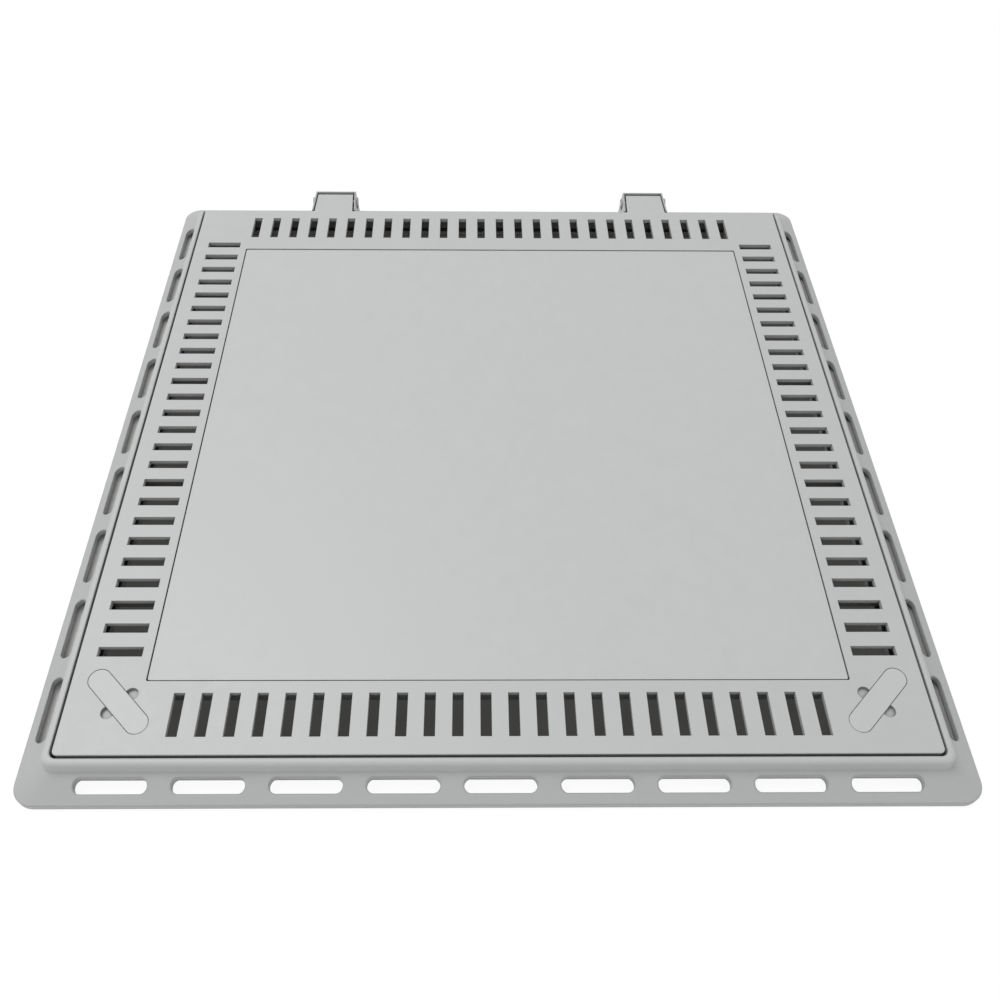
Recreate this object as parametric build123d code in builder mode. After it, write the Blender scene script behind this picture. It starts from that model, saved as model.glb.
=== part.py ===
from build123d import *
import os
from math import asin, degrees, sqrt

# Hinged, ventilated access cover: a flanged frame, a slotted lid that swings
# up on two pinned arms, and two key locks under plugs in the front corners.
# Millimetres. X to the right, Y towards the hinges, Z up. The origin is the
# centre of the clear opening, on the plane that the frame stands on.

os.makedirs("parts", exist_ok=True)


# Driving dimensions: opening and lid
clear_opening = 600.0
clear_corner_r = 8.0
seat_overlap = 10.0
lid_corner_r = 4.0
lid_plate_t = 8.0
vent_plate_t = 4.5
lid_edge_round = 0.8
edge_wall_t = 8.0
gap_side = 1.6
gap_front = 2.2

# Frame section, from the rim down to the foot of the skirt
rim_w = 5.1
rim_corner_r = 8.0
rim_round = 3.0
wall_h = 10.0
wall_draft = 1.5
skirt_drop = 10.0
skirt_reach = 20.2
skirt_corner_r = 16.0
skirt_t = 5.5
skirt_edge_h = 5.0
foot_w = 4.0
ledge_t = 6.0
rear_rim_drop = 8.0
rear_rim_lead = 1.0

# Seat gasket
gasket_t = 2.4
gasket_inset = 0.5
gasket_clear = 0.3

# Anchor slots through the skirt
anchor_pitch = 67.4
anchor_len = 51.0
anchor_w = 10.0
anchor_from_wall = 8.0
anchor_corner_web = 20.0
anchor_hinge_web = 4.0

# Vent slots
vent_pitch = 20.0
vent_w = 8.0
vent_len = 33.4
vent_margin = 13.3
vent_corner_web = 6.0
vent_lock_web = 8.0

# Centre panel and its screws
panel_t = 4.0
panel_sunk = 0.6
panel_gap = 0.9
panel_border_side = 7.8
panel_border_front = 10.3
panel_border_rear = 20.3
panel_corner_r = 1.5
screw_r = 1.75
screw_bite = 2.6
screw_head_r = 3.5
screw_head_h = 2.0
screw_rows = 3

# Ribs under the lid
rib_t = 5.0
rib_h = 7.0
rib_from_vent = 3.9
rib_vents = 6
ribs_each_way = 2

# Hinges
hinge_spacing = 342.0
arm_w_base = 41.0
arm_w_tip = 38.0
arm_reach = 32.0
arm_t = 6.5
arm_tip_round = 3.0
hinge_gap = 1.6
tip_gap = 2.2
hinge_wall_t = 1.5
hinge_wall_draft = 1.7
hinge_floor_t = 4.0
pin_r = 3.0
pin_clearance = 0.05
bush_wall = 0.95
knuckle_wall = 3.0
boss_wall = 3.0
boss_proud = 2.0
pin_head_r = 4.3
pin_head_h = 1.5
clip_t = 0.8
clip_r = 4.5
clip_groove = 0.5
clip_mouth_deg = 80.0
pin_tail = 0.8
pin_sunk = 1.6
pin_seat_r = 4.9

# Lock plugs and their wells, turned 45 degrees across the front corners
lock_inset_x = 37.0
lock_inset_y = 40.5
plug_len = 64.0
plug_w = 16.5
plug_t = 2.5
plug_clear = 0.3
plug_skirt_h = 1.5
plug_skirt_t = 1.4
plug_edge_bevel = 0.3
seal_t = 0.8
seal_w = 1.8
well_w = 12.5
well_depth = 9.0
well_floor_t = 3.0
well_wall = 4.0
dimple_r = 5.0
dimple_depth = 3.0
dimple_offset = 9.9
dimple_slide = 2.5
keyway_len = 22.0
keyway_w = 6.0
keyway_from_end = 9.0
key_sweep_r = 13.0

# Lock spindle, cam and fasteners
spindle_r = 3.0
spindle_clearance = 0.05
lock_bush_wall = 0.95
lock_flange_r = 5.5
lock_flange_t = 0.8
collar_r = 5.0
collar_t = 0.8
drive_square = 6.0
drive_under_plug = 0.3
cam_square = 4.2
cam_t = 3.0
cam_w = 13.0
cam_run = 0.5
cam_engage = 3.5
cam_sweep_clear = 1.5
strike_clear = 0.6
strike_rise = 1.3
strike_web = 2.0
washer_r = 5.0
washer_t = 1.0
nut_flats = 7.0
nut_t = 3.5
thread_r = 2.0
thread_tail = 1.0


# Heights, all above the base
top_z = wall_h + skirt_drop + skirt_edge_h
wall_foot_z = top_z - wall_h
skirt_edge_z = skirt_edge_h
rear_rim_z = top_z - rear_rim_drop
gasket_top_z = ledge_t + gasket_t
lid_bottom_z = gasket_top_z + gasket_clear
plate_under_z = top_z - lid_plate_t
vent_under_z = top_z - vent_plate_t
rib_bottom_z = plate_under_z - rib_h

# Half sizes in plan
clear_half = clear_opening / 2
lid_half = clear_half + seat_overlap
lid_side = 2 * lid_half
seat_half = lid_half + gap_side
seat_front = lid_half + gap_front
rim_half = seat_half + rim_w
wall_foot_half = rim_half + wall_draft
skirt_half = wall_foot_half + skirt_reach

# Vent rows: slots stand on a lattice that straddles both centre lines
vent_row = lid_half - vent_margin - vent_len / 2
vent_inner = vent_row - vent_len / 2
vent_outer = vent_row + vent_len / 2

# Locks
plug_reach = (plug_len - plug_w) / 2
lock_x = lid_half - lock_inset_x
lock_y = -(lid_half - lock_inset_y)
lock_step = plug_reach / sqrt(2)
plug_span = lock_step + plug_w / 2
spindle_x = lock_x - lock_step
spindle_y = lock_y - lock_step


def vents_within(limit):
    """Slots on one side of a centre line, in a row that ends at this limit."""
    return int((limit - vent_w / 2) / vent_pitch + 0.5)


def vent_places(first, last):
    """Places along a row, from a count before the centre line to one after."""
    return [(i + 0.5) * vent_pitch for i in range(-first, last)]


vents_rear = vents_within(vent_inner - vent_corner_web)
vents_front = vents_within(lock_x - plug_span - vent_lock_web)
vents_side_front = vents_within(-lock_y - plug_span - vent_lock_web)

# Hinges
bush_r = pin_r + pin_clearance + bush_wall
knuckle_r = bush_r + knuckle_wall
arm_tip_y = lid_half + arm_reach
pin_y = arm_tip_y - knuckle_r
pin_z = top_z - knuckle_r
hinge_x = hinge_spacing / 2
boss_r = pin_r + boss_wall
pocket_rear_y = arm_tip_y + tip_gap
hinge_rear_y = pocket_rear_y + hinge_wall_t


def arm_half(y):
    """Half width of a lid arm at this Y; the arm narrows towards its tip."""
    narrowing = (arm_w_base - arm_w_tip) / 2 / arm_reach
    return arm_w_base / 2 - narrowing * (y - lid_half)


def trapezoid(y_front, y_rear, grow, rear_grow=0.0):
    """Corner points, in plan, of the arm's outline grown sideways."""
    a = arm_half(y_front) + grow
    b = arm_half(y_rear) + grow
    return [(-a, y_front), (a, y_front), (b, y_rear + rear_grow), (-b, y_rear + rear_grow)]


boss_face = arm_half(pin_y) + hinge_gap + hinge_wall_t + boss_proud
pin_seat = boss_face - pin_sunk

# Anchor slots
anchor_line = wall_foot_half + anchor_from_wall
anchors_each_way = int((wall_foot_half - anchor_len / 2 - anchor_corner_web) / anchor_pitch)
anchor_places = [i * anchor_pitch for i in range(-anchors_each_way, anchors_each_way + 1)]
hinge_keepout = arm_w_base / 2 + hinge_gap + hinge_wall_t + hinge_wall_draft + anchor_hinge_web
anchor_places_rear = [x for x in anchor_places if abs(x) - anchor_len / 2 > hinge_x + hinge_keepout]

# Lock stack, downwards from the lid's top
well_floor_z = top_z - well_depth
boss_under_z = well_floor_z - well_floor_t
plug_under_z = top_z - plug_t
seal_under_z = plug_under_z - seal_t
collar_under_z = well_floor_z + lock_flange_t
collar_top_z = collar_under_z + collar_t
drive_top_z = plug_under_z - plug_skirt_h - drive_under_plug
cam_top_z = boss_under_z - cam_run
cam_under_z = cam_top_z - cam_t
washer_under_z = cam_under_z - washer_t
nut_under_z = washer_under_z - nut_t
spindle_end_z = nut_under_z - thread_tail
cam_reach = seat_front + spindle_y + cam_engage
cam_corner = sqrt(cam_reach**2 + (cam_w / 2) ** 2)
strike_half = sqrt(cam_corner**2 - (clear_half + spindle_y) ** 2) + strike_clear
strike_depth = cam_engage + strike_clear
hollow_half = seat_front + strike_depth + strike_web
lock_bush_r = spindle_r + spindle_clearance + lock_bush_wall
well_len = plug_len - plug_w + well_w

# Ribs and panel
border_rib = vent_inner - rib_from_vent
rib_pitch = rib_vents * vent_pitch
rib_places = [(i + 0.5) * rib_pitch for i in range(-ribs_each_way, ribs_each_way)]
rib_places += [-border_rib, border_rib]
panel_x = 2 * (vent_inner - panel_border_side)
panel_front = -(vent_inner - panel_border_front)
panel_rear = vent_inner - panel_border_rear
panel_y = panel_rear - panel_front
panel_cy = (panel_rear + panel_front) / 2
panel_under_z = top_z - panel_sunk - panel_t
last_rib = (ribs_each_way - 0.5) * rib_pitch
screw_step = (border_rib + last_rib) / (screw_rows - 1)
screw_steps = [(i - (screw_rows - 1) / 2) * screw_step for i in range(screw_rows)]
screw_places = [
    (x, panel_cy + y)
    for x in screw_steps
    for y in screw_steps
    if max(abs(x), abs(y)) > screw_steps[-1] - screw_head_r
]


def plug_tilt(side):
    """Turn of a plug's long axis from X; side is -1 on the left, 1 on the right."""
    return 45.0 * side


# Hollow under the skirt, open at the bottom
with BuildPart() as skirt_hollow:
    with BuildSketch(Plane.XY.offset(wall_foot_z - skirt_t)):
        RectangleRounded(2 * wall_foot_half, 2 * wall_foot_half, rim_corner_r)
    with BuildSketch(Plane.XY.offset(skirt_edge_z - skirt_t)):
        RectangleRounded(2 * skirt_half, 2 * skirt_half, skirt_corner_r)
    loft(ruled=True)
    with BuildSketch(Plane.XY.offset(-skirt_t)):
        hollow_side = 2 * (skirt_half - foot_w)
        RectangleRounded(hollow_side, hollow_side, skirt_corner_r - foot_w)
    extrude(amount=top_z, mode=Mode.INTERSECT)
    with BuildSketch(Plane.XY.offset(-skirt_t)):
        RectangleRounded(2 * hollow_half, 2 * hollow_half, rim_corner_r)
    extrude(amount=top_z, mode=Mode.SUBTRACT)

# One hinge box: a drafted block with pin bosses on both sides, cut out later
with BuildPart() as hinge_box:
    with BuildSketch(Plane.XY):
        with BuildLine():
            foot = hinge_wall_t + hinge_wall_draft
            Polyline(*trapezoid(seat_half, pocket_rear_y, hinge_gap + foot, foot), close=True)
        make_face()
    with BuildSketch(Plane.XY.offset(top_z)):
        with BuildLine():
            Polyline(
                *trapezoid(seat_half, pocket_rear_y, hinge_gap + hinge_wall_t, hinge_wall_t),
                close=True,
            )
        make_face()
    loft(ruled=True)
    with BuildSketch(Plane.YZ.offset(-boss_face)):
        with Locations((pin_y, pin_z)):
            Circle(boss_r)
    extrude(amount=2 * boss_face)

# Frame: rim, drafted wall, sloping skirt with anchor slots, and seat ledge
with BuildPart() as frame:
    with BuildSketch(Plane.XY.offset(top_z)):
        RectangleRounded(2 * rim_half, 2 * rim_half, rim_corner_r)
    with BuildSketch(Plane.XY.offset(wall_foot_z)):
        RectangleRounded(2 * wall_foot_half, 2 * wall_foot_half, rim_corner_r)
    loft(ruled=True)
    fillet(frame.edges().group_by(Axis.Z)[-1], radius=rim_round)
    with BuildSketch(Plane.XY.offset(wall_foot_z)):
        RectangleRounded(2 * wall_foot_half, 2 * wall_foot_half, rim_corner_r)
    with BuildSketch(Plane.XY.offset(skirt_edge_z)):
        RectangleRounded(2 * skirt_half, 2 * skirt_half, skirt_corner_r)
    loft(ruled=True)
    with BuildSketch(Plane.XY):
        RectangleRounded(2 * skirt_half, 2 * skirt_half, skirt_corner_r)
    extrude(amount=skirt_edge_z)
    # The rim stops short of the hinge side, where the lid has to swing past
    with BuildSketch(Plane.XY.offset(rear_rim_z)):
        with Locations((0, lid_half - rear_rim_lead)):
            Rectangle(2 * skirt_half, 2 * skirt_half, align=(Align.CENTER, Align.MIN))
    extrude(amount=top_z, mode=Mode.SUBTRACT)
    add(skirt_hollow.part, mode=Mode.SUBTRACT)
    with Locations((-hinge_x, 0, 0), (hinge_x, 0, 0)):
        add(hinge_box.part)
    with BuildSketch(Plane.XY):
        RectangleRounded(clear_opening, clear_opening, clear_corner_r)
    extrude(amount=top_z, mode=Mode.SUBTRACT)
    with BuildSketch(Plane.XY.offset(ledge_t)):
        with Locations((0, (gap_side - gap_front) / 2)):
            RectangleRounded(2 * seat_half, seat_half + seat_front, lid_corner_r + gap_side)
    extrude(amount=top_z, mode=Mode.SUBTRACT)
    # Pocket of each hinge box, behind the rear wall and over it
    for x in (-hinge_x, hinge_x):
        pocket_front = [(rim_half, hinge_floor_t), (seat_half - gap_side, rear_rim_z)]
        for y_front, floor in pocket_front:
            with BuildSketch(Plane((x, 0, floor))):
                with BuildLine():
                    Polyline(*trapezoid(y_front, pocket_rear_y, hinge_gap), close=True)
                make_face()
            extrude(amount=top_z, mode=Mode.SUBTRACT)
    with BuildSketch(Plane.YZ.offset(-2 * hinge_x)):
        with Locations((pin_y, pin_z)):
            Circle(pin_r)
    extrude(amount=4 * hinge_x, mode=Mode.SUBTRACT)
    # Seats, sunk into the bosses, for the head and the clip of each pin
    for x in (-hinge_x, hinge_x):
        for side in (-1, 1):
            with BuildSketch(Plane((x + side * pin_seat, pin_y, pin_z), z_dir=(side, 0, 0))):
                Circle(pin_seat_r)
            extrude(amount=pin_sunk, mode=Mode.SUBTRACT)
    # Anchor slots
    with BuildSketch(Plane.XY.offset(-skirt_t)):
        with Locations(*[(x, -anchor_line) for x in anchor_places]):
            SlotOverall(anchor_len, anchor_w)
        with Locations(*[(x, anchor_line) for x in anchor_places_rear]):
            SlotOverall(anchor_len, anchor_w)
        with Locations(*[(s * anchor_line, y) for s in (-1, 1) for y in anchor_places]):
            SlotOverall(anchor_len, anchor_w, rotation=90)
    extrude(amount=top_z, mode=Mode.SUBTRACT)
    # Recess in the front wall for the nose of each lock cam, as long as the cam's
    # sweep over the ledge, with its floor level with the gasket's top
    with BuildSketch(Plane.XY.offset(gasket_top_z)):
        with Locations((-spindle_x, -seat_front), (spindle_x, -seat_front)):
            Rectangle(2 * strike_half, 2 * strike_depth)
    extrude(amount=cam_top_z + strike_rise - gasket_top_z, mode=Mode.SUBTRACT)
frame.part.label = "frame"
export_step(frame.part, "parts/frame.step")

# Seat gasket: a square strip that lies on the ledge under the lid's edge
with BuildPart() as seat_gasket:
    with BuildSketch(Plane.XY.offset(ledge_t)):
        outer = lid_side - 2 * gasket_inset
        inner = clear_opening + 2 * gasket_inset
        RectangleRounded(outer, outer, lid_corner_r)
        RectangleRounded(inner, inner, clear_corner_r, mode=Mode.SUBTRACT)
    extrude(amount=gasket_t)
seat_gasket.part.label = "seat_gasket"
export_step(seat_gasket.part, "parts/seat_gasket.step")

# One lid arm: a plate that ends in the knuckle round the hinge pin
with BuildPart() as arm:
    with BuildSketch(Plane.YZ.offset(-arm_w_base / 2)):
        with BuildLine():
            under = degrees(asin((knuckle_r - arm_t) / knuckle_r))
            root_y = lid_half - edge_wall_t
            top = Line((root_y, top_z), (arm_tip_y - arm_tip_round, top_z))
            tip = CenterArc(
                (arm_tip_y - arm_tip_round, top_z - arm_tip_round), arm_tip_round, 90, -90
            )
            Line(tip @ 1, (arm_tip_y, pin_z))
            curl = CenterArc((pin_y, pin_z), knuckle_r, 0, -180 - under)
            Polyline(curl @ 1, (root_y, top_z - arm_t), top @ 0)
        make_face()
    extrude(amount=arm_w_base)
    with BuildSketch(Plane.XY):
        with BuildLine():
            Polyline(*trapezoid(root_y, arm_tip_y, 0), close=True)
        make_face()
    extrude(amount=2 * top_z, mode=Mode.INTERSECT)

# Lid: slotted plate, edge wall and ribs, arms, lock wells, panel rebate
with BuildPart() as lid:
    with BuildSketch(Plane.XY.offset(plate_under_z)):
        RectangleRounded(lid_side, lid_side, lid_corner_r)
    extrude(amount=lid_plate_t)
    fillet(lid.edges().group_by(Axis.Z)[-1], radius=lid_edge_round)
    # The plate is thinner in the belt where the vents are
    with BuildSketch(Plane.XY.offset(plate_under_z)):
        wall_inner = lid_side - 2 * edge_wall_t
        Rectangle(wall_inner, wall_inner)
        Rectangle(2 * border_rib, 2 * border_rib, mode=Mode.SUBTRACT)
    extrude(amount=vent_under_z - plate_under_z, mode=Mode.SUBTRACT)
    with BuildSketch(Plane.XY.offset(lid_bottom_z)):
        RectangleRounded(lid_side, lid_side, lid_corner_r)
        Rectangle(wall_inner, wall_inner, mode=Mode.SUBTRACT)
    extrude(amount=plate_under_z - lid_bottom_z)
    with BuildSketch(Plane.XY.offset(rib_bottom_z)):
        for place in rib_places:
            with Locations((place, 0)):
                Rectangle(rib_t, wall_inner)
            with Locations((0, place)):
                Rectangle(wall_inner, rib_t)
    extrude(amount=vent_under_z - rib_bottom_z)
    with Locations((-hinge_x, 0, 0), (hinge_x, 0, 0)):
        add(arm.part)
    for side in (-1, 1):
        tilt = plug_tilt(side)
        lock_at = (side * lock_x, lock_y)
        spindle_at = (side * spindle_x, spindle_y)
        key_shift = (plug_reach - keyway_from_end) / sqrt(2)
        key_at = (side * (lock_x + key_shift), lock_y + key_shift)
        # Boss under the plate, then the swept room below it for cam and key
        with BuildSketch(Plane.XY.offset(boss_under_z)):
            with Locations(lock_at):
                SlotOverall(plug_len + 2 * well_wall, plug_w + 2 * well_wall, rotation=tilt)
        extrude(amount=top_z - boss_under_z - plug_t)
        with BuildSketch(Plane.XY.offset(boss_under_z)):
            with Locations(spindle_at):
                Circle(cam_corner + cam_sweep_clear)
            with Locations(key_at):
                Circle(key_sweep_r)
        extrude(amount=-top_z, mode=Mode.SUBTRACT)
        # Window in the edge wall, as wide and as high as the recess that the cam enters
        with BuildSketch(Plane.XY.offset(lid_bottom_z)):
            with Locations((side * spindle_x, -lid_half)):
                Rectangle(2 * strike_half, 2 * edge_wall_t)
        extrude(amount=cam_top_z + strike_rise - lid_bottom_z, mode=Mode.SUBTRACT)
        # Rebate for the plug and its seal, well, spindle hole and lifting keyway
        with BuildSketch(Plane.XY.offset(top_z)):
            with Locations(lock_at):
                SlotOverall(plug_len + 2 * plug_clear, plug_w + 2 * plug_clear, rotation=tilt)
        extrude(amount=-(plug_t + seal_t), mode=Mode.SUBTRACT)
        with BuildSketch(Plane.XY.offset(top_z)):
            with Locations(lock_at):
                SlotOverall(well_len, well_w, rotation=tilt)
        extrude(amount=-well_depth, mode=Mode.SUBTRACT)
        with BuildSketch(Plane.XY.offset(top_z)):
            with Locations(spindle_at):
                Circle(lock_bush_r)
            with Locations(key_at):
                SlotOverall(keyway_len, keyway_w, rotation=tilt)
        extrude(amount=-top_z, mode=Mode.SUBTRACT)
        # Two pry dimples beside the plug, a little towards its spindle end
        with BuildSketch(Plane.XY.offset(top_z)):
            out = (dimple_offset - dimple_slide) / sqrt(2)
            back = (dimple_offset + dimple_slide) / sqrt(2)
            with Locations(
                (side * (lock_x + out), lock_y - back),
                (side * (lock_x - back), lock_y + out),
            ):
                Circle(dimple_r)
        extrude(amount=-dimple_depth, mode=Mode.SUBTRACT)
    with BuildSketch(Plane.XY.offset(top_z)):
        with Locations((0, panel_cy)):
            RectangleRounded(panel_x + 2 * panel_gap, panel_y + 2 * panel_gap, panel_corner_r)
    extrude(amount=-(panel_sunk + panel_t), mode=Mode.SUBTRACT)
    with BuildSketch(Plane.XY.offset(plate_under_z)):
        with Locations(*screw_places):
            Circle(screw_r)
    extrude(amount=lid_plate_t, mode=Mode.SUBTRACT)
    with BuildSketch(Plane.XY.offset(lid_bottom_z)):
        with Locations(*[(x, vent_row) for x in vent_places(vents_rear, vents_rear)]):
            Rectangle(vent_w, vent_len)
        with Locations(*[(x, -vent_row) for x in vent_places(vents_front, vents_front)]):
            Rectangle(vent_w, vent_len)
        side_rows = vent_places(vents_side_front, vents_rear)
        with Locations(*[(s * vent_row, y) for s in (-1, 1) for y in side_rows]):
            Rectangle(vent_len, vent_w)
    extrude(amount=top_z, mode=Mode.SUBTRACT)
    with BuildSketch(Plane.YZ.offset(-2 * hinge_x)):
        with Locations((pin_y, pin_z)):
            Circle(bush_r)
    extrude(amount=4 * hinge_x, mode=Mode.SUBTRACT)
lid.part.label = "lid"
export_step(lid.part, "parts/lid.step")

# Centre panel, with blind holes for the screws that hold it from below
with BuildPart() as centre_panel:
    with BuildSketch(Plane.XY.offset(panel_under_z)):
        with Locations((0, panel_cy)):
            RectangleRounded(panel_x, panel_y, panel_corner_r)
    extrude(amount=panel_t)
    with BuildSketch(Plane.XY.offset(panel_under_z)):
        with Locations(*screw_places):
            Circle(screw_r)
    extrude(amount=screw_bite, mode=Mode.SUBTRACT)
centre_panel.part.label = "centre_panel"
export_step(centre_panel.part, "parts/centre_panel.step")

# Panel screws, heads under the lid's plate
with BuildPart() as panel_screws:
    with BuildSketch(Plane.XY.offset(plate_under_z)):
        with Locations(*screw_places):
            Circle(screw_head_r)
    extrude(amount=-screw_head_h)
    with BuildSketch(Plane.XY.offset(plate_under_z)):
        with Locations(*screw_places):
            Circle(screw_r)
    extrude(amount=panel_under_z + screw_bite - plate_under_z)
panel_screws.part.label = "panel_screws"
export_step(panel_screws.part, "parts/panel_screws.step")

for name, side in (("left", -1), ("right", 1)):
    # Everything below is drawn about the hinge or lock of this side
    outer_face = side * (hinge_x + pin_seat)
    inner_face = side * (hinge_x - pin_seat)
    outward = Plane((outer_face, pin_y, pin_z), z_dir=(side, 0, 0))
    inward = Plane((inner_face, pin_y, pin_z), z_dir=(-side, 0, 0))

    # Hinge pin: head sunk in the outer boss, clip groove in the inner one
    with BuildPart() as hinge_pin:
        with BuildSketch(outward):
            Circle(pin_head_r)
        extrude(amount=pin_head_h)
        with BuildSketch(outward):
            Circle(pin_r)
        extrude(amount=-(2 * pin_seat + clip_t + pin_tail))
        with BuildSketch(inward):
            Circle(pin_r)
            Circle(pin_r - clip_groove, mode=Mode.SUBTRACT)
        extrude(amount=clip_t, mode=Mode.SUBTRACT)
    hinge_pin.part.label = f"hinge_pin_{name}"
    export_step(hinge_pin.part, f"parts/hinge_pin_{name}.step")

    # Retaining clip: an open ring in the pin's groove
    with BuildPart() as hinge_clip:
        with BuildSketch(inward):
            Circle(clip_r)
            Circle(pin_r - clip_groove, mode=Mode.SUBTRACT)
            with BuildLine():
                half_mouth = clip_mouth_deg / 2
                mouth = [(0, 0)]
                for angle in (-90 - half_mouth, -90 + half_mouth):
                    mouth.append(Vector(2 * clip_r, 0).rotate(Axis.Z, angle))
                Polyline(*mouth, close=True)
            make_face(mode=Mode.SUBTRACT)
        extrude(amount=clip_t)
    hinge_clip.part.label = f"hinge_clip_{name}"
    export_step(hinge_clip.part, f"parts/hinge_clip_{name}.step")

    # Hinge bush, pressed into the lid's arm from face to face
    with BuildPart() as hinge_bush:
        bush_half = arm_half(pin_y + bush_r)
        with BuildSketch(Plane((side * hinge_x - bush_half, pin_y, pin_z), z_dir=(1, 0, 0))):
            Circle(bush_r)
            Circle(pin_r + pin_clearance, mode=Mode.SUBTRACT)
        extrude(amount=2 * bush_half)
    hinge_bush.part.label = f"hinge_bush_{name}"
    export_step(hinge_bush.part, f"parts/hinge_bush_{name}.step")

    lock_at = (side * lock_x, lock_y)
    spindle_at = (side * spindle_x, spindle_y)
    tilt = plug_tilt(side)

    # Plug: flush cap with a thin skirt that enters the well
    with BuildPart() as lock_plug:
        with BuildSketch(Plane.XY.offset(plug_under_z)):
            with Locations(lock_at):
                SlotOverall(plug_len, plug_w, rotation=tilt)
        extrude(amount=plug_t)
        chamfer(lock_plug.edges().group_by(Axis.Z)[-1], length=plug_edge_bevel)
        with BuildSketch(Plane.XY.offset(plug_under_z)):
            with Locations(lock_at):
                skirt_w = well_w - 2 * plug_clear
                skirt_len = well_len - 2 * plug_clear
                SlotOverall(skirt_len, skirt_w, rotation=tilt)
                hollow_w = skirt_w - 2 * plug_skirt_t
                hollow_len = skirt_len - 2 * plug_skirt_t
                SlotOverall(hollow_len, hollow_w, rotation=tilt, mode=Mode.SUBTRACT)
        extrude(amount=-plug_skirt_h)
    lock_plug.part.label = f"lock_plug_{name}"
    export_step(lock_plug.part, f"parts/lock_plug_{name}.step")

    # Flat seal round the plug's skirt
    with BuildPart() as plug_seal:
        with BuildSketch(Plane.XY.offset(seal_under_z)):
            with Locations(lock_at):
                seal_in_w = well_w
                seal_in_len = well_len
                SlotOverall(seal_in_len + 2 * seal_w, seal_in_w + 2 * seal_w, rotation=tilt)
                SlotOverall(seal_in_len, seal_in_w, rotation=tilt, mode=Mode.SUBTRACT)
        extrude(amount=seal_t)
    plug_seal.part.label = f"plug_seal_{name}"
    export_step(plug_seal.part, f"parts/plug_seal_{name}.step")

    # Flanged bush in the well's floor
    with BuildPart() as lock_bush:
        with BuildSketch(Plane.XY.offset(well_floor_z)):
            with Locations(spindle_at):
                Circle(lock_flange_r)
        extrude(amount=lock_flange_t)
        with BuildSketch(Plane.XY.offset(well_floor_z)):
            with Locations(spindle_at):
                Circle(lock_bush_r)
        extrude(amount=-well_floor_t)
        with BuildSketch(Plane.XY):
            with Locations(spindle_at):
                Circle(spindle_r + spindle_clearance)
        extrude(amount=top_z, mode=Mode.SUBTRACT)
    lock_bush.part.label = f"lock_bush_{name}"
    export_step(lock_bush.part, f"parts/lock_bush_{name}.step")

    # Spindle: square drive, collar, journal, square for the cam, thread
    with BuildPart() as lock_spindle:
        with BuildSketch(Plane.XY.offset(collar_top_z)):
            with Locations(spindle_at):
                Rectangle(drive_square, drive_square)
        extrude(amount=drive_top_z - collar_top_z)
        with BuildSketch(Plane.XY.offset(collar_under_z)):
            with Locations(spindle_at):
                Circle(collar_r)
        extrude(amount=collar_t)
        with BuildSketch(Plane.XY.offset(collar_under_z)):
            with Locations(spindle_at):
                Circle(spindle_r)
        extrude(amount=cam_top_z - collar_under_z)
        with BuildSketch(Plane.XY.offset(cam_top_z)):
            with Locations(spindle_at):
                Rectangle(cam_square, cam_square)
        extrude(amount=-cam_t)
        with BuildSketch(Plane.XY.offset(cam_under_z)):
            with Locations(spindle_at):
                Circle(thread_r)
        extrude(amount=spindle_end_z - cam_under_z)
    lock_spindle.part.label = f"lock_spindle_{name}"
    export_step(lock_spindle.part, f"parts/lock_spindle_{name}.step")

    # Cam, turned outwards along X as in the unlocked lid
    with BuildPart() as lock_cam:
        with BuildSketch(Plane.XY.offset(cam_top_z)):
            with Locations(spindle_at):
                Circle(cam_w / 2)
                with Locations((side * cam_reach / 2, 0)):
                    Rectangle(cam_reach, cam_w)
                Rectangle(cam_square, cam_square, mode=Mode.SUBTRACT)
        extrude(amount=-cam_t)
        nose = lock_cam.edges().filter_by(Axis.Z).group_by(Axis.X)[-1 if side > 0 else 0]
        fillet(nose, radius=cam_t)
    lock_cam.part.label = f"lock_cam_{name}"
    export_step(lock_cam.part, f"parts/lock_cam_{name}.step")

    with BuildPart() as lock_washer:
        with BuildSketch(Plane.XY.offset(cam_under_z)):
            with Locations(spindle_at):
                Circle(washer_r)
                Circle(thread_r, mode=Mode.SUBTRACT)
        extrude(amount=-washer_t)
    lock_washer.part.label = f"lock_washer_{name}"
    export_step(lock_washer.part, f"parts/lock_washer_{name}.step")

    with BuildPart() as lock_nut:
        with BuildSketch(Plane.XY.offset(washer_under_z)):
            with Locations(spindle_at):
                RegularPolygon(nut_flats / 2, 6, major_radius=False)
                Circle(thread_r, mode=Mode.SUBTRACT)
        extrude(amount=-nut_t)
    lock_nut.part.label = f"lock_nut_{name}"
    export_step(lock_nut.part, f"parts/lock_nut_{name}.step")
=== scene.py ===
from math import cos, pi, radians, sin

import bmesh
import bpy
from bpy.props import FloatProperty, FloatVectorProperty, PointerProperty
from mathutils import Matrix, Vector


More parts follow.
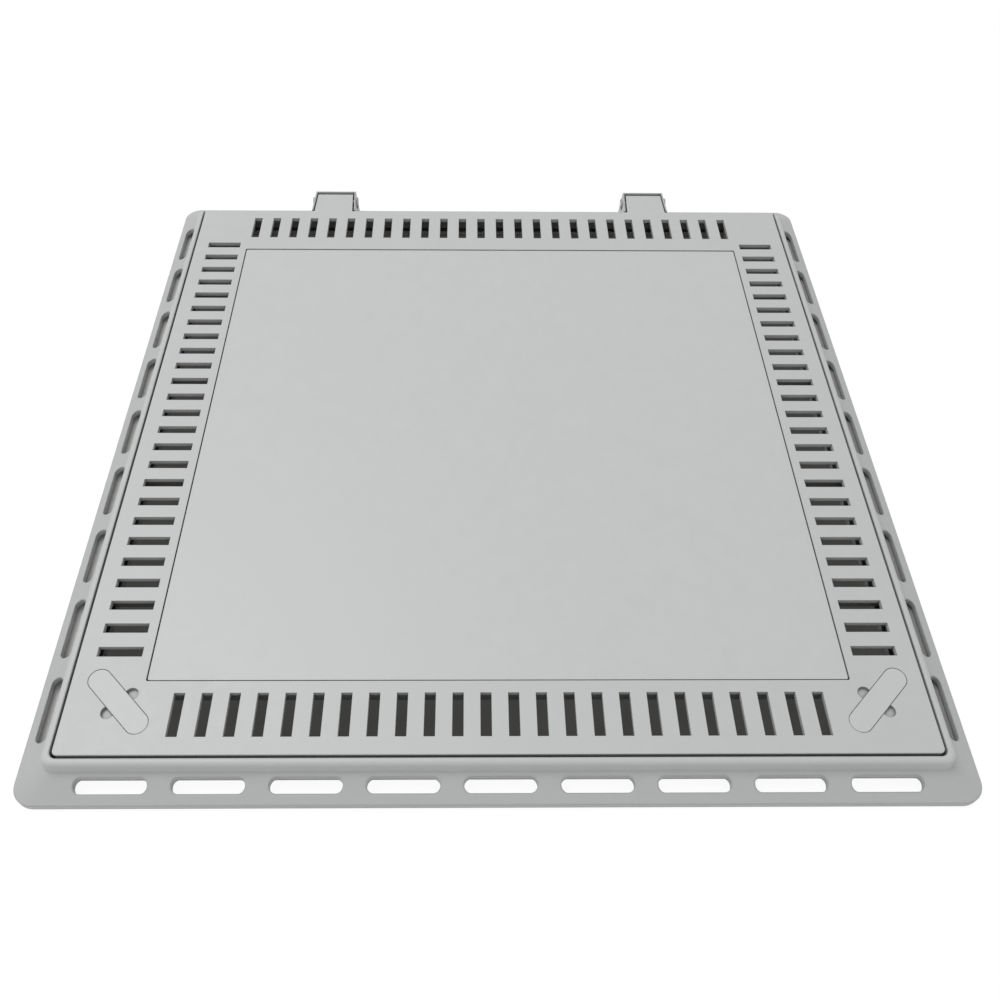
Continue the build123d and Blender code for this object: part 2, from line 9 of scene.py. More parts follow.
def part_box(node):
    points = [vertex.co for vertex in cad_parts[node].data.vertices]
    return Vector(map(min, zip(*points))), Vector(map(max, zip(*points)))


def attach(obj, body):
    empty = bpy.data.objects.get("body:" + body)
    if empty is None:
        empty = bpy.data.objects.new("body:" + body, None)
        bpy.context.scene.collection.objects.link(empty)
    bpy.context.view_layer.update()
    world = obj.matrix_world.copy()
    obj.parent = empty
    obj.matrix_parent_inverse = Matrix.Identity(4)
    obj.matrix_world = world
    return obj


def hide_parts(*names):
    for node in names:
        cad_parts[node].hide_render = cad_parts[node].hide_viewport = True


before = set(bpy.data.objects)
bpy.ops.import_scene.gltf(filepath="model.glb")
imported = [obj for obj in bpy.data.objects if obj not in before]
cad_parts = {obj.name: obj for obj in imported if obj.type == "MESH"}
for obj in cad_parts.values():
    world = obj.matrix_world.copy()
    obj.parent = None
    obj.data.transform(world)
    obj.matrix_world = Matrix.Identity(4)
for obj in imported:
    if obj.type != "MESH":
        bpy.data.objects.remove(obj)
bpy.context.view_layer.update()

bl_info = {
    "name": "Access cover finish",
    "version": (1, 0, 0),
    "blender": (4, 5, 0),
    "location": "3D View > Sidebar > Access Cover",
    "description": "Gives a hinged, vented access cover its finishes, fasteners and studio",
    "category": "Object",
}

MM = 0.001
SIDES = ("left", "right")


def linear(hex_text):
    """An sRGB colour such as C4C4C3, as the linear values that a shader takes."""
    channels = [int(hex_text[i : i + 2], 16) / 255 for i in (0, 2, 4)]
    return [c / 12.92 if c <= 0.04045 else ((c + 0.055) / 1.055) ** 2.4 for c in channels]


def colour_property(name, hex_text, description):
    return FloatVectorProperty(
        name=name, description=description, subtype="COLOR", size=3, min=0, max=1,
        default=linear(hex_text),
    )


def add_node(tree, kind, values=None, links=None, **settings):
    """One node, with its settings, the values of its sockets and what feeds them."""
    node = tree.nodes.new(kind)
    for name, value in settings.items():
        setattr(node, name, value)
    for socket, value in (values or {}).items():
        node.inputs[socket].default_value = value
    for socket, source in (links or {}).items():
        tree.links.new(source, node.inputs[socket])
    return node


def new_material(name):
    """An empty node material and its tree."""
    material = bpy.data.materials.new(name)
    material.use_nodes = True
    material.node_tree.nodes.clear()
    return material, material.node_tree


def per_metre(size_mm):
    """Noise scale that gives features of this size, in object coordinates."""
    return 1 / (size_mm * MM)


# Moulded composite


class CompositeFinish(bpy.types.PropertyGroup):
    """Light grey glass-fibre composite, pressed in a steel mould."""

    lid_colour: colour_property("Lid", "C1C3C2", "Colour of the lid's moulding")
    # Painted shade: this darker grey of the vent walls and underside stands in for the shade there
    underside_shade_colour: colour_property(
        "Underside", "8E8E8B", "Colour of the lid's underside, soiled by the chamber's damp",
    )
    panel_colour: colour_property("Panel", "C5C6C6", "Colour of the centre panel and the plugs")
    frame_colour: colour_property("Frame", "C1C3C2", "Colour of the frame's rim")
    # Painted shade: the flange's darker grey stands in for the shade on its slope
    skirt_shade_colour: colour_property("Skirt", "B6B8B7", "Colour of the frame's flange, left matt")
    grain_mm: FloatProperty(
        name="Grain", description="Size of the mould's fine grain, in millimetres",
        default=0.9, min=0.1, max=5,
    )
    fibre_mm: FloatProperty(
        name="Fibre bundle", description="Size of the chopped bundles that show through",
        default=16.0, min=2, max=60,
    )
    # Painted shade: reach of the darkening that occlusion paints into slots and gaps
    shading_reach_mm: FloatProperty(
        name="Shading", description="Width of the slots and gaps that hold grime, in millimetres",
        default=12.0, min=0.5, max=60,
    )
    roughness: FloatProperty(
        name="Roughness", description="Mean roughness of the moulded skin", default=0.46,
        min=0, max=1,
    )


def composite(
    name, finish, colour, low_colour=None, low_z_mm=0.0, inside_mm=0.0, bevel_mm=0.5, shading=0.12,
):
    """Pressed glass-fibre composite: satin, faintly mottled by the fibre bundles
    under its skin, with a fine mould grain and edges softened by the mould. Shade
    is painted into its slots, gaps and hollows by ambient occlusion. A low colour,
    which paints shade, lies below low_z_mm and, where inside_mm is given, only
    within that distance of the centre lines."""
    material, tree = new_material(name)
    place = add_node(tree, "ShaderNodeTexCoord").outputs["Object"]
    bundles = add_node(
        tree, "ShaderNodeTexNoise",
        {"Scale": per_metre(finish.fibre_mm), "Detail": 4.0, "Roughness": 0.6, "Distortion": 0.8},
        {"Vector": place},
    )
    speck = add_node(
        tree, "ShaderNodeTexNoise",
        {"Scale": per_metre(finish.grain_mm), "Detail": 2.0, "Roughness": 0.5},
        {"Vector": place},
    )
    base = add_node(tree, "ShaderNodeRGB").outputs[0]
    base.default_value = (*colour, 1)
    if low_colour:
        axes = add_node(tree, "ShaderNodeSeparateXYZ", links={"Vector": place}).outputs
        low = add_node(
            tree, "ShaderNodeMapRange",
            {"From Min": (low_z_mm - 0.6) * MM, "From Max": (low_z_mm + 0.6) * MM,
             "To Min": 1.0, "To Max": 0.0},
            {"Value": axes["Z"]},
        ).outputs["Result"]
        if inside_mm:
            spans = [
                add_node(tree, "ShaderNodeMath", links={0: axes[a]}, operation="ABSOLUTE").outputs[0]
                for a in "XY"
            ]
            reach = add_node(
                tree, "ShaderNodeMath", links={0: spans[0], 1: spans[1]}, operation="MAXIMUM",
            ).outputs[0]
            inner = add_node(
                tree, "ShaderNodeMath", {1: inside_mm * MM}, {0: reach}, operation="LESS_THAN",
            ).outputs[0]
            low = add_node(
                tree, "ShaderNodeMath", links={0: low, 1: inner}, operation="MULTIPLY",
            ).outputs[0]
        base = add_node(
            tree, "ShaderNodeMix", {"B": (*low_colour, 1)}, {"Factor": low, "A": base},
            data_type="RGBA",
        ).outputs["Result"]
    mottle = add_node(
        tree, "ShaderNodeMapRange", {"From Min": 0.3, "From Max": 0.7, "To Min": 0.985, "To Max": 1.012},
        {"Value": bundles.outputs["Fac"]},
    )
    tint = add_node(
        tree, "ShaderNodeVectorMath", links={0: base, 1: mottle.outputs["Result"]},
        operation="MULTIPLY",
    )
    dots = add_node(
        tree, "ShaderNodeMapRange", {"From Min": 0.3, "From Max": 0.7, "To Min": 0.985, "To Max": 1.015},
        {"Value": speck.outputs["Fac"]},
    )
    skin = add_node(
        tree, "ShaderNodeVectorMath", links={0: tint.outputs[0], 1: dots.outputs["Result"]},
        operation="MULTIPLY",
    )
    # Painted shade: ambient occlusion darkens the colour in slots, gaps, dimples and at the wall's foot,
    # where shade falls
    shelter = add_node(
        tree, "ShaderNodeAmbientOcclusion", {"Distance": finish.shading_reach_mm * MM}, samples=6,
    )
    painted_crevice_shade = add_node(
        tree, "ShaderNodeMapRange", {"From Min": 0.3, "From Max": 0.58, "To Min": shading, "To Max": 1.0},
        {"Value": shelter.outputs["AO"]},
    )
    skin = add_node(
        tree, "ShaderNodeVectorMath", links={0: skin.outputs[0], 1: painted_crevice_shade.outputs["Result"]},
        operation="MULTIPLY",
    )
    gloss = add_node(
        tree, "ShaderNodeMapRange",
        {"From Min": 0.3, "From Max": 0.7,
         "To Min": finish.roughness - 0.05, "To Max": finish.roughness + 0.07},
        {"Value": bundles.outputs["Fac"]},
    )
    rounded = add_node(tree, "ShaderNodeBevel", {"Radius": bevel_mm * MM}, samples=4)
    grain = add_node(
        tree, "ShaderNodeBump", {"Strength": 0.35, "Distance": 0.03 * MM},
        {"Height": speck.outputs["Fac"], "Normal": rounded.outputs["Normal"]},
    )
    shader = add_node(
        tree, "ShaderNodeBsdfPrincipled", {"IOR": 1.53},
        {"Base Color": skin.outputs[0], "Roughness": gloss.outputs["Result"],
         "Normal": grain.outputs["Normal"]},
    )
    add_node(tree, "ShaderNodeOutputMaterial", links={"Surface": shader.outputs["BSDF"]})
    return material


# Metal, acetal and rubber


class FittingsFinish(bpy.types.PropertyGroup):
    """Stainless steel, acetal and rubber of the hinges, locks and seals."""

    steel_colour: colour_property("Steel", "B9B7B2", "Turned and rolled stainless steel")
    acetal_colour: colour_property("Acetal", "E6E5DF", "Natural acetal of the bushes")
    rubber_colour: colour_property("Rubber", "3A3A39", "Black rubber of the seals, greyed by dust")
    lathe_mm: FloatProperty(
        name="Lathe mark", description="Spacing of the turning marks, in millimetres",
        default=0.35, min=0.05, max=3,
    )
    socket_mm: FloatProperty(
        name="Socket", description="Width of the screws' hexagon sockets over flats", default=2.5,
    )
    nut_flats_mm: FloatProperty(name="Nut", description="Width of the lock nuts over flats", default=7.0)
    thread_pitch_mm: FloatProperty(name="Pitch", description="Pitch of the spindles' thread", default=0.7)
    pore_mm: FloatProperty(
        name="Rubber pore", description="Size of the pores in the rubber's skin",
        default=1.2, min=0.1, max=6,
    )


def stainless_steel(finish):
    """Stainless steel, turned or rolled: dull, with fine marks and handling smears."""
    material, tree = new_material("stainless_steel_turned")
    place = add_node(tree, "ShaderNodeTexCoord").outputs["Object"]
    marks = add_node(
        tree, "ShaderNodeTexNoise", {"Scale": per_metre(finish.lathe_mm), "Detail": 3.0},
        {"Vector": place},
    )
    smears = add_node(
        tree, "ShaderNodeTexNoise", {"Scale": per_metre(6), "Detail": 3.0}, {"Vector": place},
    )
    gloss = add_node(
        tree, "ShaderNodeMapRange", {"From Min": 0.3, "From Max": 0.7, "To Min": 0.26, "To Max": 0.42},
        {"Value": smears.outputs["Fac"]},
    )
    tone = add_node(
        tree, "ShaderNodeMapRange", {"From Min": 0.3, "From Max": 0.7, "To Min": 0.92, "To Max": 1.04},
        {"Value": smears.outputs["Fac"]},
    )
    colour = add_node(
        tree, "ShaderNodeVectorMath", {0: tuple(finish.steel_colour)},
        {1: tone.outputs["Result"]}, operation="MULTIPLY",
    )
    rounded = add_node(tree, "ShaderNodeBevel", {"Radius": 0.2 * MM}, samples=4)
    scored = add_node(
        tree, "ShaderNodeBump", {"Strength": 0.3, "Distance": 0.01 * MM},
        {"Height": marks.outputs["Fac"], "Normal": rounded.outputs["Normal"]},
    )
    shader = add_node(
        tree, "ShaderNodeBsdfPrincipled", {"Metallic": 1.0},
        {"Base Color": colour.outputs[0], "Roughness": gloss.outputs["Result"],
         "Normal": scored.outputs["Normal"]},
    )
    add_node(tree, "ShaderNodeOutputMaterial", links={"Surface": shader.outputs["BSDF"]})
    return material


def turned_acetal(finish):
    """Natural acetal, turned: waxy white, with a faint sheen and lathe rings."""
    material, tree = new_material("natural_acetal_turned")
    place = add_node(tree, "ShaderNodeTexCoord").outputs["Object"]
    rings = add_node(
        tree, "ShaderNodeTexNoise", {"Scale": per_metre(finish.lathe_mm * 2), "Detail": 2.0},
        {"Vector": place},
    )
    tone = add_node(
        tree, "ShaderNodeMapRange", {"From Min": 0.3, "From Max": 0.7, "To Min": 0.95, "To Max": 1.0},
        {"Value": rings.outputs["Fac"]},
    )
    colour = add_node(
        tree, "ShaderNodeVectorMath", {0: tuple(finish.acetal_colour)},
        {1: tone.outputs["Result"]}, operation="MULTIPLY",
    )
    scored = add_node(
        tree, "ShaderNodeBump", {"Strength": 0.2, "Distance": 0.01 * MM},
        {"Height": rings.outputs["Fac"]},
    )
    shader = add_node(
        tree, "ShaderNodeBsdfPrincipled", {"IOR": 1.48, "Roughness": 0.36},
        {"Base Color": colour.outputs[0], "Normal": scored.outputs["Normal"]},
    )
    add_node(tree, "ShaderNodeOutputMaterial", links={"Surface": shader.outputs["BSDF"]})
    return material


def moulded_rubber(finish):
    """Ethylene-propylene rubber, extruded: black, matt, with a dusty bloom."""
    material, tree = new_material("epdm_rubber_extruded")
    place = add_node(tree, "ShaderNodeTexCoord").outputs["Object"]
    pores = add_node(
        tree, "ShaderNodeTexNoise", {"Scale": per_metre(finish.pore_mm), "Detail": 3.0},
        {"Vector": place},
    )
    bloom = add_node(
        tree, "ShaderNodeTexNoise", {"Scale": per_metre(25), "Detail": 3.0}, {"Vector": place},
    )
    tone = add_node(
        tree, "ShaderNodeMapRange", {"From Min": 0.35, "From Max": 0.75, "To Min": 0.8, "To Max": 1.8},
        {"Value": bloom.outputs["Fac"]},
    )
    colour = add_node(
        tree, "ShaderNodeVectorMath", {0: tuple(finish.rubber_colour)},
        {1: tone.outputs["Result"]}, operation="MULTIPLY",
    )
    pitted = add_node(
        tree, "ShaderNodeBump", {"Strength": 0.5, "Distance": 0.05 * MM},
        {"Height": pores.outputs["Fac"]},
    )
    shader = add_node(
        tree, "ShaderNodeBsdfPrincipled", {"IOR": 1.5, "Roughness": 0.78},
        {"Base Color": colour.outputs[0], "Normal": pitted.outputs["Normal"]},
    )
    add_node(tree, "ShaderNodeOutputMaterial", links={"Surface": shader.outputs["BSDF"]})
    return material


def dress(nodes, material):
    """Gives these nodes of the frame this material, in every slot they have."""
    for name in nodes:
        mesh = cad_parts[name].data
        if not mesh.materials:
            mesh.materials.append(material)
        for i in range(len(mesh.materials)):
            mesh.materials[i] = material


def both(*stems):
    """Names of nodes that come as a left and a right one."""
    return [f"{stem}_{side}" for stem in stems for side in SIDES]


class COVER_OT_frame_moulding(bpy.types.Operator):
    """Finish the frame: satin rim and wall, and a flange in a darker grey that paints shade on it"""

    bl_idname = "cover.frame_moulding"
    bl_label = "Frame moulding"

    def execute(self, context):
        finish = context.scene.cover_composite
        # Painted shade: below the wall's foot the flange takes the darker skirt grey
        wall_foot_mm = 15.0
        dress(["frame"], composite(
            "frame_glass_fibre_composite", finish, finish.frame_colour, finish.skirt_shade_colour,
            wall_foot_mm, bevel_mm=2.5, shading=0.6,
        ))
        return {"FINISHED"}


class COVER_OT_lid_moulding(bpy.types.Operator):
    """Finish the lid's moulding, with shade painted into its vent walls and underside"""

    bl_idname = "cover.lid_moulding"
    bl_label = "Lid moulding"

    def execute(self, context):
        finish = context.scene.cover_composite
        # Painted shade: below this height, inside the vent belt, the lid takes the darker underside grey
        shaded_below_mm = 21.2
        dress(["lid"], composite(
            "lid_glass_fibre_composite", finish, finish.lid_colour, finish.underside_shade_colour,
            shaded_below_mm, inside_mm=302.5, shading=0.5,
        ))
        return {"FINISHED"}


class COVER_OT_panel_and_plugs(bpy.types.Operator):
    """Finish the centre panel and the two lock plugs"""

    bl_idname = "cover.panel_and_plugs"
    bl_label = "Panel and plugs"

    def execute(self, context):
        finish = context.scene.cover_composite
        # Painted shade: occlusion darkens the panel's gap and the plugs' dimples
        dress(
            ["centre_panel", *both("lock_plug")],
            composite("panel_glass_fibre_composite", finish, finish.panel_colour),
        )
        return {"FINISHED"}


def hexagon(flats):
    """Radius of a hexagon, by its width over flats, as a function of the angle."""
    return lambda angle: flats / 2 / cos((angle + pi / 6) % (pi / 3) - pi / 6)


def trimmed(shape, radius):
    """The smaller of a shape's radius and a circle's: a chamfered hexagon."""
    return lambda angle: min(shape(angle), radius)


def turned(name, rings, places, steps=48, closed=False):
    """One mesh of like solids, each a stack of rings given as (height, radius) in
    millimetres, where a radius may be a function of the angle."""
    shape = bmesh.new()
    for centre in places:
        loops = []
        for height, radius in rings:
            loop = []
            for i in range(steps):
                angle = 2 * pi * i / steps
                r = radius(angle) if callable(radius) else radius
                at = Vector((r * cos(angle), r * sin(angle), height)) * MM + Vector(centre)
                loop.append(shape.verts.new(at))
            loops.append(loop)
        pairs = list(zip(loops, loops[1:]))
        if closed:
            pairs.append((loops[-1], loops[0]))
        else:
            shape.faces.new(loops[0][::-1])
            shape.faces.new(loops[-1])
        for low, high in pairs:
            for i in range(steps):
                j = (i + 1) % steps
                shape.faces.new((low[i], low[j], high[j], high[i]))
    mesh = bpy.data.meshes.new(name)
    bmesh.ops.recalc_face_normals(shape, faces=shape.faces)
    shape.to_mesh(mesh)
    shape.free()
    mesh.shade_smooth()
    mesh.set_sharp_from_angle(angle=radians(32))
    return mesh


def piece(name, mesh, material):
    mesh.materials.append(material)
    thing = bpy.data.objects.new(name, mesh)
    bpy.context.scene.collection.objects.link(thing)
    return thing


def middle(node):
    low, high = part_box(node)
    return (Vector(low) + Vector(high)) / 2, Vector(low), Vector(high)


class COVER_OT_fasteners(bpy.types.Operator):
    """Build the panel screws with their sockets, and the chamfered nuts on their threads"""

    bl_idname = "cover.fasteners"
    bl_label = "Screws, nuts and threads"

    def execute(self, context):
        finish = context.scene.cover_fittings
        steel = stainless_steel(finish)
        self.add_panel_screws(finish, steel)
        for side in SIDES:
            self.add_nut(finish, steel, side)
            self.add_thread(finish, steel, side)
        return {"FINISHED"}

    def add_panel_screws(self, finish, steel):
        head_r, head_h, shank_r = 3.5, 2.0, 1.75
        centre, low, high = middle("panel_screws")
        reach = high - centre - Vector((head_r, head_r, 0)) * MM
        steps = (-1, 0, 1)
        under_plate = low.z + head_h * MM
        places = [
            (centre.x + i * reach.x, centre.y + j * reach.y, under_plate)
            for i in steps for j in steps if i or j
        ]
        socket = hexagon(finish.socket_mm)
        shank = (high.z - under_plate) / MM
        rings = [
            (-0.7, 0.01), (-0.7, socket), (-1.95, socket), (-head_h, socket),
            (-head_h, 2.3), (-1.7, 2.95), (-1.0, 3.4), (-0.3, head_r), (0, 3.45),
            (0, shank_r), (shank - 0.5, shank_r), (shank, 1.2),
        ]
        name = "panel_screws_socket_head"
        screws = piece(name, turned(name, rings, places), steel)
        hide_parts("panel_screws")
        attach(screws, "lid")

    def add_nut(self, finish, steel, side):
        node = f"lock_nut_{side}"
        centre, low, high = middle(node)
        flats, bore_r, chamfer = finish.nut_flats_mm, 2.0, 0.45
        outer, height = hexagon(flats), (high.z - low.z) / MM
        corner = trimmed(outer, flats / 2 + 0.05)
        rings = [
            (0, bore_r), (0, corner), (chamfer, outer),
            (height - chamfer, outer), (height, corner), (height, bore_r),
        ]
        name = f"{node}_chamfered"
        shape = turned(name, rings, [(centre.x, centre.y, low.z)], closed=True)
        nut = piece(name, shape, steel)
        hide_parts(node)
        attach(nut, f"lock_{side}")

    def add_thread(self, finish, steel, side):
        """Crests of the thread that show on the spindle's tail, below the nut."""
        centre, low, high = middle(f"lock_spindle_{side}")
        pitch, crest, root = finish.thread_pitch_mm, 2.02, 1.75
        turns, steps = 2, 36
        shape = bmesh.new()
        rows = []
        for i in range(turns * steps + 1):
            angle, height = 2 * pi * i / steps, 0.06 + (0.85 - 0.06) * i / (turns * steps)
            fade = min(1, i / 9, (turns * steps - i) / 9)
            row = []
            for rise, radius in ((-0.18, root), (0, root + (crest - root + 0.2) * fade), (0.18, root)):
                at = Vector((radius * cos(angle), radius * sin(angle), height + rise * pitch)) * MM
                row.append(shape.verts.new(at + Vector((centre.x, centre.y, low.z))))
            rows.append(row)
        for a, b in zip(rows, rows[1:]):
            for k in (0, 1):
                shape.faces.new((a[k], b[k], b[k + 1], a[k + 1]))
            shape.faces.new((a[2], b[2], b[0], a[0]))
        shape.faces.new(rows[0])
        shape.faces.new(rows[-1][::-1])
        bmesh.ops.recalc_face_normals(shape, faces=shape.faces)
        mesh = bpy.data.meshes.new(f"spindle_thread_{side}")
        shape.to_mesh(mesh)
        shape.free()
        thread = piece(f"spindle_thread_{side}", mesh, steel)
        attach(thread, f"lock_{side}")


class COVER_OT_fittings(bpy.types.Operator):
    """Finish the pins, clips, screws, locks, bushes and seals"""

    bl_idname = "cover.fittings"
    bl_label = "Hinge and lock fittings"

    def execute(self, context):
        finish = context.scene.cover_fittings
        steel = both(
            "hinge_pin", "hinge_clip", "lock_spindle", "lock_cam", "lock_washer", "lock_nut"
        )
        dress(["panel_screws", *steel], stainless_steel(finish))
        dress(both("hinge_bush", "lock_bush"), turned_acetal(finish))
        dress(["seat_gasket", *both("plug_seal")], moulded_rubber(finish))
        return {"FINISHED"}


# Studio


class StudioSettings(bpy.types.PropertyGroup):
    """Camera, lamps, floor and the chamber that the cover stands over."""

    camera_place: FloatVectorProperty(
        name="Camera", description="Where the camera stands", subtype="TRANSLATION",
        default=(-0.02136, -0.56624, 0.64605),
    )
    camera_pitch: FloatProperty(
        name="Pitch", description="How far the camera looks down", subtype="ANGLE",
        default=radians(52.4095),
    )
    camera_yaw: FloatProperty(
        name="Yaw", description="How far the camera turns to the right", subtype="ANGLE",
        default=radians(1.1513),
    )
    camera_roll: FloatProperty(
        name="Roll", description="How far the camera leans to its left", subtype="ANGLE",
        default=radians(0.9488),
    )
    lens_mm: FloatProperty(name="Lens", description="Focal length on 36 mm", default=33.788)
    lens_shift: FloatProperty(
        name="Shift", description="Sideways shift of the lens, as a share of the picture",
        default=0.0182,
    )
    floor_colour: colour_property("Floor", "F4F4F4", "Pale floor")
    chamber_glow_colour: colour_property("Chamber", "3E3E3C", "Light that comes back out of the chamber")
    # Painted shade: the beds' greys stand in for the shade under the side flanges, lighter on the left,
    # darker on the right
    bed_left_shade_colour: colour_property("Left bed", "D8D8D6", "Mortar under the left flange")
    bed_right_shade_colour: colour_property("Right bed", "A8A8A6", "Mortar under the right flange")
    floor_glow: FloatProperty(
        name="Floor white", description="Share of plain white in the floor as seen",
        default=0.9, min=0, max=1,
    )
    key_power: FloatProperty(name="Key lamp", description="Power of the key lamp, in watts", default=70.0)
    sky_strength: FloatProperty(name="Sky", description="Strength of the even light", default=0.62)


def seen_directly(tree):
    """1 for rays that show the floor or sky to the eye, straight or by reflection."""
    light = add_node(tree, "ShaderNodeLightPath").outputs
    either = add_node(
        tree, "ShaderNodeMath", links={0: light["Is Camera Ray"], 1: light["Is Glossy Ray"]},
        operation="MAXIMUM",
    )
    return add_node(
        tree, "ShaderNodeMath", links={0: either.outputs[0], 1: light["Is Transmission Ray"]},
        operation="MAXIMUM",
    ).outputs[0]


def floor_material(settings):
    """Pale studio floor that shows as white and keeps a soft shadow."""
    material, tree = new_material("studio_floor_white")
    share = add_node(
        tree, "ShaderNodeMath", {1: settings.floor_glow}, {0: seen_directly(tree)},
        operation="MULTIPLY",
    )
    lit = add_node(tree, "ShaderNodeBsdfDiffuse", {"Color": (*settings.floor_colour, 1)})
    white = add_node(tree, "ShaderNodeEmission", {"Color": (1, 1, 1, 1), "Strength": 1.03})
    mix = add_node(
        tree, "ShaderNodeMixShader",
        links={0: share.outputs[0], 1: lit.outputs[0], 2: white.outputs[0]},
    )
    add_node(tree, "ShaderNodeOutputMaterial", links={"Surface": mix.outputs[0]})
    return material


def chamber_material(settings):
    """Inside of the chamber: a dim, even glow in loose patches that paints the little light of a deep
    pit.
    """
    material, tree = new_material("chamber_painted_dim_light")
    place = add_node(tree, "ShaderNodeTexCoord").outputs["Object"]
    glow_patches = add_node(tree, "ShaderNodeTexNoise", {"Scale": per_metre(60)}, {"Vector": place})
    tone = add_node(
        tree, "ShaderNodeMapRange", {"To Min": 0.8, "To Max": 1.2}, {"Value": glow_patches.outputs["Fac"]},
    )
    colour = add_node(
        tree, "ShaderNodeVectorMath", {0: tuple(settings.chamber_glow_colour)},
        {1: tone.outputs["Result"]}, operation="MULTIPLY",
    )
    # Painted light: the chamber glows with a dim emission instead of being lit
    wall = add_node(
        tree, "ShaderNodeEmission", {"Strength": 1.0}, {"Color": colour.outputs[0]},
    )
    add_node(tree, "ShaderNodeOutputMaterial", links={"Surface": wall.outputs[0]})
    return material


def bed_material(name, colour):
    """Mortar bed under a side flange: matt, with the grain of sand, in a grey that paints the shade under
    the flange.
    """
    material, tree = new_material(f"mortar_{name}")
    place = add_node(tree, "ShaderNodeTexCoord").outputs["Object"]
    sand = add_node(tree, "ShaderNodeTexNoise", {"Scale": per_metre(1.5)}, {"Vector": place})
    tone = add_node(
        tree, "ShaderNodeMapRange", {"To Min": 0.9, "To Max": 1.1}, {"Value": sand.outputs["Fac"]},
    )
    grey = add_node(
        tree, "ShaderNodeVectorMath", {0: tuple(colour)}, {1: tone.outputs["Result"]},
        operation="MULTIPLY",
    )
    shaded_mortar = add_node(tree, "ShaderNodeBsdfDiffuse", links={"Color": grey.outputs[0]})
    add_node(tree, "ShaderNodeOutputMaterial", links={"Surface": shaded_mortar.outputs[0]})
    return material


def rectangle(low, high, z):
    """The corners of a level rectangle, counter-clockwise from above."""
    return [(low[0], low[1], z), (high[0], low[1], z), (high[0], high[1], z), (low[0], high[1], z)]


def ring_mesh(name, upper, lower, closed=False):
    """A band of quads between two rectangles, with a bottom where it is closed."""
    mesh = bpy.data.meshes.new(name)
    faces = [(i, (i + 1) % 4, 4 + (i + 1) % 4, 4 + i) for i in range(4)]
    if closed:
        faces.append((4, 5, 6, 7))
    mesh.from_pydata(upper + lower, [], faces)
    return mesh


def stage_object(name, mesh, material):
    mesh.materials.append(material)
    thing = bpy.data.objects.new(name, mesh)
    bpy.context.scene.collection.objects.link(thing)
    return thing


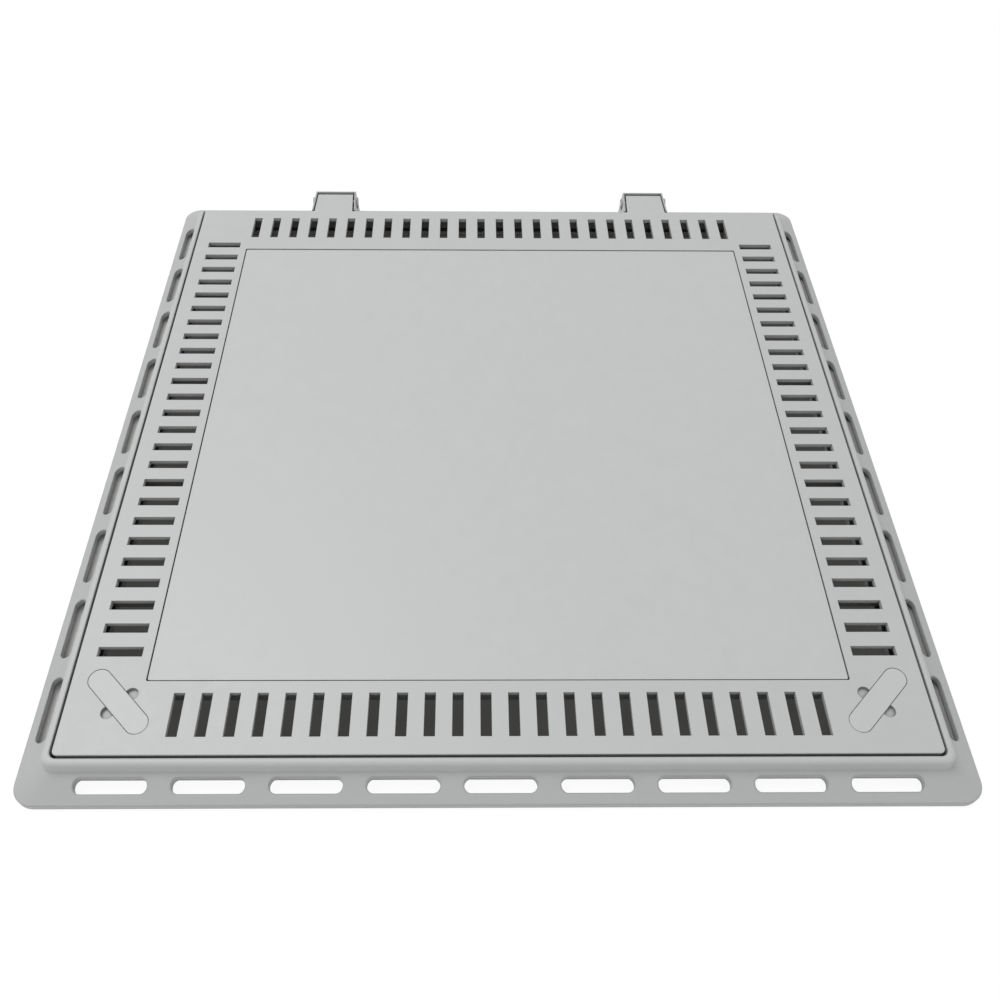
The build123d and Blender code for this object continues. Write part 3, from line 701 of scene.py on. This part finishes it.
class COVER_OT_studio(bpy.types.Operator):
    """Build the floor, the chamber under the cover, the lamps and the camera"""

    bl_idname = "cover.studio"
    bl_label = "Studio"

    def execute(self, context):
        settings = context.scene.cover_studio
        # The chamber's wall stands under the middle of the frame's foot
        pit_half = 309 * MM
        bed_inner, bed_outer, bed_z = 310 * MM, 337 * MM, 0.5 * MM
        pit_low = (-pit_half, -pit_half)
        pit_high = (pit_half, pit_half)
        pit_depth = 300 * MM
        floor_reach = 8.0
        floor_z = -0.05 * MM
        outer = rectangle((-floor_reach, -floor_reach), (floor_reach, floor_reach), floor_z)
        inner = rectangle(pit_low, pit_high, floor_z)
        stage_object("studio_floor", ring_mesh("studio_floor", outer, inner), floor_material(settings))
        # Painted shade: each bed's grey is the shade under its flange
        for name, side, colour in (
            ("bed_left", -1, settings.bed_left_shade_colour), ("bed_right", 1, settings.bed_right_shade_colour),
        ):
            near, far = sorted((side * bed_inner, side * bed_outer))
            bed = bpy.data.meshes.new(name)
            corners = rectangle((near, -pit_half), (far, pit_half), bed_z)
            bed.from_pydata(corners, [], [(0, 1, 2, 3)])
            stage_object(name, bed, bed_material(name, colour))
        bottom = rectangle(pit_low, pit_high, -pit_depth)
        stage_object("chamber", ring_mesh("chamber", inner, bottom, True), chamber_material(settings))
        self.add_sky(context, settings)
        self.add_key_lamp(context, settings)
        self.add_camera(context, settings)
        context.scene.view_settings.view_transform = "Standard"
        return {"FINISHED"}

    def add_sky(self, context, settings):
        world = bpy.data.worlds.new("studio_sky")
        world.use_nodes = True
        tree = world.node_tree
        tree.nodes.clear()
        even = add_node(tree, "ShaderNodeBackground", {"Strength": settings.sky_strength})
        even.inputs["Color"].default_value = (1, 1, 1, 1)
        white = add_node(tree, "ShaderNodeBackground", {"Color": (1, 1, 1, 1), "Strength": 1.0})
        camera_ray = add_node(tree, "ShaderNodeLightPath").outputs["Is Camera Ray"]
        mix = add_node(
            tree, "ShaderNodeMixShader",
            links={0: camera_ray, 1: even.outputs[0], 2: white.outputs[0]},
        )
        add_node(tree, "ShaderNodeOutputWorld", links={"Surface": mix.outputs[0]})
        context.scene.world = world

    def add_key_lamp(self, context, settings):
        lamp = bpy.data.lights.new("key_lamp", "AREA")
        lamp.shape = "DISK"
        lamp.size = 2.4
        lamp.energy = settings.key_power
        holder = bpy.data.objects.new("key_lamp", lamp)
        holder.location = Vector((-1.5, 0.9, 3.8))
        holder.rotation_mode = "QUATERNION"
        holder.rotation_quaternion = holder.location.to_track_quat("Z", "Y")
        context.scene.collection.objects.link(holder)

    def add_camera(self, context, settings):
        pitch, yaw, roll = settings.camera_pitch, settings.camera_yaw, settings.camera_roll
        ahead = Vector((sin(yaw) * cos(pitch), cos(yaw) * cos(pitch), -sin(pitch)))
        level = Vector((cos(yaw), -sin(yaw), 0))
        upright = level.cross(ahead)
        right = cos(roll) * level + sin(roll) * upright
        up = -sin(roll) * level + cos(roll) * upright
        data = bpy.data.cameras.new("photo_camera")
        data.sensor_width = 36
        data.lens = settings.lens_mm
        data.shift_x = settings.lens_shift
        data.clip_start = 0.01
        holder = bpy.data.objects.new("photo_camera", data)
        turn = Matrix((right, up, -ahead)).transposed().to_4x4()
        holder.matrix_world = Matrix.Translation(settings.camera_place) @ turn
        context.scene.collection.objects.link(holder)
        context.scene.camera = holder


class COVER_PT_panel(bpy.types.Panel):
    """Steps that finish the cover, in order"""

    bl_idname = "COVER_PT_panel"
    bl_label = "Access cover"
    bl_space_type = "VIEW_3D"
    bl_region_type = "UI"
    bl_category = "Access Cover"

    def draw(self, context):
        for settings in ("cover_composite", "cover_fittings", "cover_studio"):
            group = getattr(context.scene, settings)
            for name in group.__annotations__:
                self.layout.prop(group, name)
        for step in STEPS:
            self.layout.operator(step.bl_idname)


GROUPS = {
    "cover_composite": CompositeFinish,
    "cover_fittings": FittingsFinish,
    "cover_studio": StudioSettings,
}
STEPS = (
    COVER_OT_frame_moulding,
    COVER_OT_lid_moulding,
    COVER_OT_panel_and_plugs,
    COVER_OT_fittings,
    COVER_OT_fasteners,
    COVER_OT_studio,
)


def register():
    for thing in (*GROUPS.values(), *STEPS, COVER_PT_panel):
        bpy.utils.register_class(thing)
    for name, group in GROUPS.items():
        setattr(bpy.types.Scene, name, PointerProperty(type=group))


def unregister():
    for name in GROUPS:
        delattr(bpy.types.Scene, name)
    for thing in (COVER_PT_panel, *reversed(STEPS), *GROUPS.values()):
        bpy.utils.unregister_class(thing)


def main():
    register()
    bpy.ops.cover.frame_moulding()
    bpy.ops.cover.lid_moulding()
    bpy.ops.cover.panel_and_plugs()
    bpy.ops.cover.fittings()
    bpy.ops.cover.fasteners()
    bpy.ops.cover.studio()


if __name__ == "__main__":
    main()
